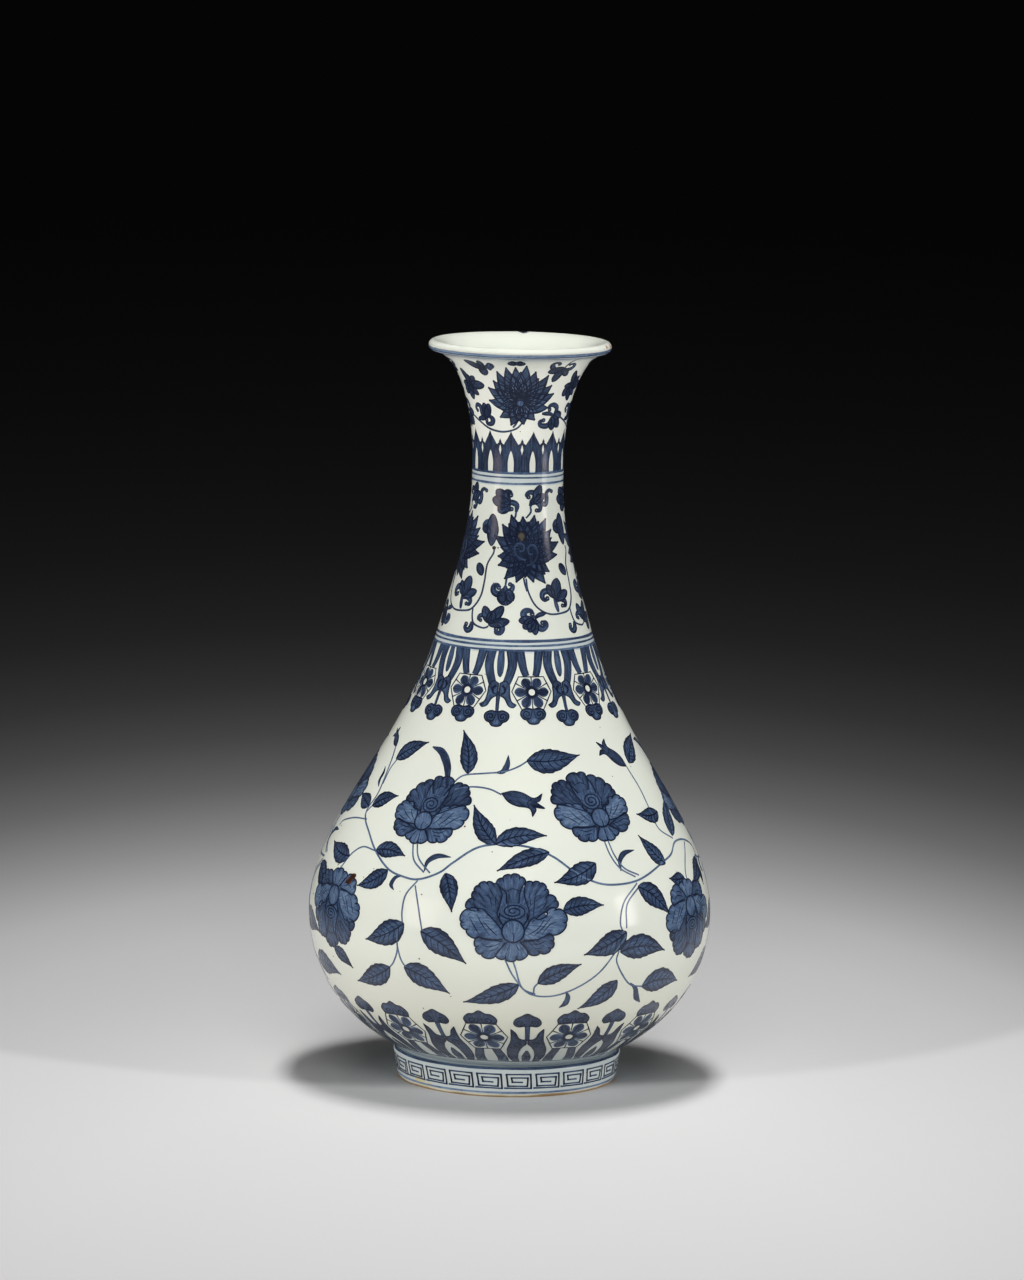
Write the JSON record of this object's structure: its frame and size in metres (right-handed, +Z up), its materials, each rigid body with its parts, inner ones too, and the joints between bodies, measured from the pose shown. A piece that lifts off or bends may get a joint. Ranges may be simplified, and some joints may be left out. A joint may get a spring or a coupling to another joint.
{
  "type": "bottle vase",
  "caption": "Pear-shaped yuhuchunping bottle vase in glazed porcelain, with a flared mouth, slender neck, low round belly and hollow foot ring.",
  "frame": {"origin": "centre of the foot ring, on the surface that the vase stands on", "axes": "+Z up along the axis of the vase; -Y is the side that faces the viewer"},
  "size_m": [0.1744, 0.1744, 0.322],
  "materials": {
    "bare_clay": "unglazed porcelain, burnt orange where it is bare",
    "porcelain": "white porcelain body under the glaze",
    "slip": "fired slip in the luted joints",
    "glaze": "glossy, faintly blue-green white glaze",
    "cobalt": "cobalt blue painting under the glaze"
  },
  "bodies": {
    "root": {"foot_ring": "bare_clay", "lower_body": "porcelain", "upper_body": "porcelain", "neck": "porcelain", "mouth": "porcelain", "foot_luting": "slip", "belly_luting": "slip", "shoulder_luting": "slip", "neck_luting": "slip", "outer_glaze": "glaze", "inner_glaze": "glaze", "base_glaze": "glaze"}
  },
  "joints": []
}
